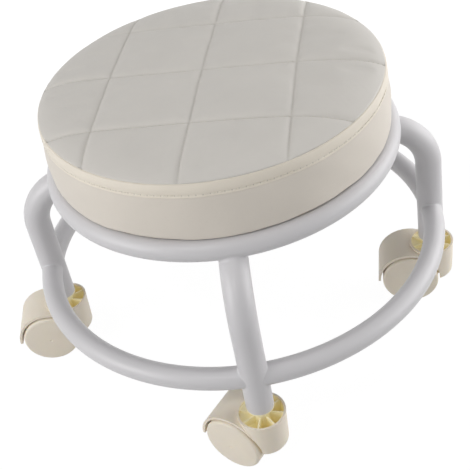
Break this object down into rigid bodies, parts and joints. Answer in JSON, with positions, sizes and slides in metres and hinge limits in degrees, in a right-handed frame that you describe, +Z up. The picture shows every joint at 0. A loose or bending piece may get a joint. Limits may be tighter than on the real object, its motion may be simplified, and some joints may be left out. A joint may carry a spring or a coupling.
{
  "type": "rolling work stool",
  "caption": "Low round rolling work stool: a quilted cream leathercloth cushion on a white welded tube frame with a lower foot ring and hooded ivory twin-wheel casters",
  "frame": {"origin": "On the floor, under the centre of the seat", "axes": "+X to the right of a person who faces the front leg, +Y to the back leg, +Z up"},
  "size_m": [0.4091, 0.379, 0.2649],
  "materials": {
    "seat_cover_top": "cream leathercloth, satin, quilted",
    "seat_cover_side": "cream leathercloth, satin",
    "foam": "open-cell foam",
    "plywood": "sanded plywood",
    "dust_cloth": "black non-woven cloth",
    "white_steel": "white powder coat, satin",
    "zinc": "bright zinc plate",
    "ivory_nylon": "moulded ivory nylon"
  },
  "bodies": {
    "stool": {"quilted_top": "seat_cover_top", "cover_band": "seat_cover_side", "foam_pad": "foam", "seat_board": "plywood", "dust_cover": "dust_cloth", "seat_screws": "zinc", "seat_brackets": "white_steel", "upper_ring": "white_steel", "front_leg": "white_steel", "right_leg": "white_steel", "back_leg": "white_steel", "left_leg": "white_steel", "front_right_arc": "white_steel", "back_right_arc": "white_steel", "back_left_arc": "white_steel", "front_left_arc": "white_steel", "front_socket": "ivory_nylon", "right_socket": "ivory_nylon", "back_socket": "ivory_nylon", "left_socket": "ivory_nylon", "front_stem": "zinc", "right_stem": "zinc", "back_stem": "zinc", "left_stem": "zinc", "grip_rings": "zinc"},
    "front_caster": {"front_caster_body": "ivory_nylon", "front_axle": "zinc"},
    "front_wheel_a": {"front_wheel_l": "ivory_nylon"},
    "front_wheel_b": {"front_wheel_r": "ivory_nylon"},
    "right_caster": {"right_caster_body": "ivory_nylon", "right_axle": "zinc"},
    "right_wheel_a": {"right_wheel_l": "ivory_nylon"},
    "right_wheel_b": {"right_wheel_r": "ivory_nylon"},
    "back_caster": {"back_caster_body": "ivory_nylon", "back_axle": "zinc"},
    "back_wheel_a": {"back_wheel_l": "ivory_nylon"},
    "back_wheel_b": {"back_wheel_r": "ivory_nylon"},
    "left_caster": {"left_caster_body": "ivory_nylon", "left_axle": "zinc"},
    "left_wheel_a": {"left_wheel_l": "ivory_nylon"},
    "left_wheel_b": {"left_wheel_r": "ivory_nylon"}
  },
  "joints": [
    {"name": "front_swivel", "type": "hinge", "parent": "stool", "child": "front_caster", "pos_m": [0, -0.17, 0.049], "axis": [0, 0, 1], "continuous": true},
    {"name": "front_spin_a", "type": "hinge", "parent": "front_caster", "child": "front_wheel_a", "pos_m": [-0.02382, -0.16876, 0.025], "axis": [-0.5878, -0.809, 0], "continuous": true},
    {"name": "front_spin_b", "type": "hinge", "parent": "front_caster", "child": "front_wheel_b", "pos_m": [-0.00854, -0.14773, 0.025], "axis": [-0.5878, -0.809, 0], "continuous": true},
    {"name": "right_swivel", "type": "hinge", "parent": "stool", "child": "right_caster", "pos_m": [0.17, 0, 0.049], "axis": [0, 0, 1], "continuous": true},
    {"name": "right_spin_a", "type": "hinge", "parent": "right_caster", "child": "right_wheel_a", "pos_m": [0.14805, -0.00933, 0.025], "axis": [-0.1736, -0.9848, 0], "continuous": true},
    {"name": "right_spin_b", "type": "hinge", "parent": "right_caster", "child": "right_wheel_b", "pos_m": [0.15256, 0.01628, 0.025], "axis": [-0.1736, -0.9848, 0], "continuous": true},
    {"name": "back_swivel", "type": "hinge", "parent": "stool", "child": "back_caster", "pos_m": [0, 0.17, 0.049], "axis": [0, 0, 1], "continuous": true},
    {"name": "back_spin_a", "type": "hinge", "parent": "back_caster", "child": "back_wheel_a", "pos_m": [-0.00854, 0.14773, 0.025], "axis": [0.5878, -0.809, 0], "continuous": true},
    {"name": "back_spin_b", "type": "hinge", "parent": "back_caster", "child": "back_wheel_b", "pos_m": [-0.02382, 0.16876, 0.025], "axis": [0.5878, -0.809, 0], "continuous": true},
    {"name": "left_swivel", "type": "hinge", "parent": "stool", "child": "left_caster", "pos_m": [-0.17, 0, 0.049], "axis": [0, 0, 1], "continuous": true},
    {"name": "left_spin_a", "type": "hinge", "parent": "left_caster", "child": "left_wheel_a", "pos_m": [-0.18953, -0.01369, 0.025], "axis": [0.0349, -0.9994, 0], "continuous": true},
    {"name": "left_spin_b", "type": "hinge", "parent": "left_caster", "child": "left_wheel_b", "pos_m": [-0.19044, 0.01229, 0.025], "axis": [0.0349, -0.9994, 0], "continuous": true}
  ]
}
